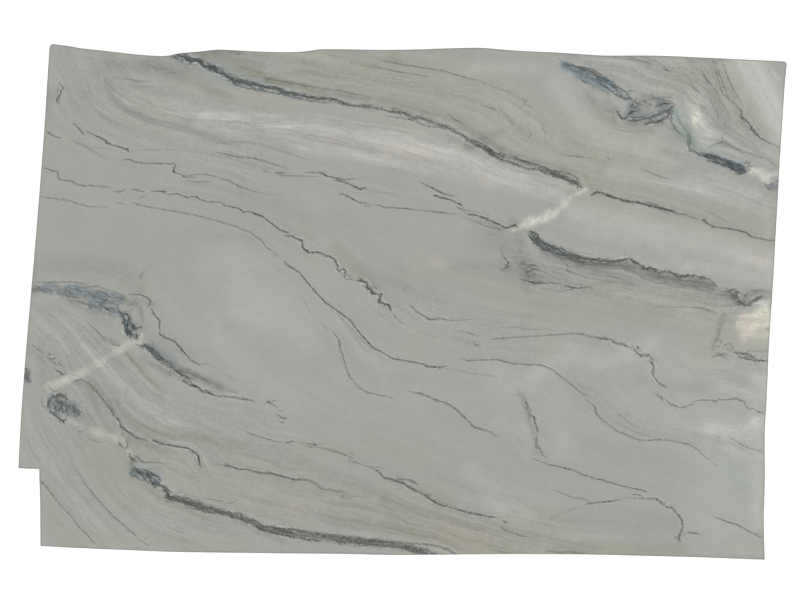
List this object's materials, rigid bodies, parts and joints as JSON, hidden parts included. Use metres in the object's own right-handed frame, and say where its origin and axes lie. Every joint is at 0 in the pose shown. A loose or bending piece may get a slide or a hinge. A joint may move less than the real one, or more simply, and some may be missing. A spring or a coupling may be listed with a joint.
{
  "type": "polished quartzite slab",
  "caption": "Raw quartzite slab with natural broken sides, a sawn step in one corner, a polished veined face and a flat sawn back to rest on.",
  "frame": {"origin": "middle of the slab's box, on the sawn back that it rests on", "axes": "+X along the slab's length, +Y across it towards its wavy long side, +Z out of the polished face"},
  "size_m": [2.922, 1.961, 0.03],
  "materials": {
    "quartzite": "polished upper face, broken sides, sawn back"
  },
  "bodies": {
    "root": {"slab": "quartzite"}
  },
  "joints": []
}
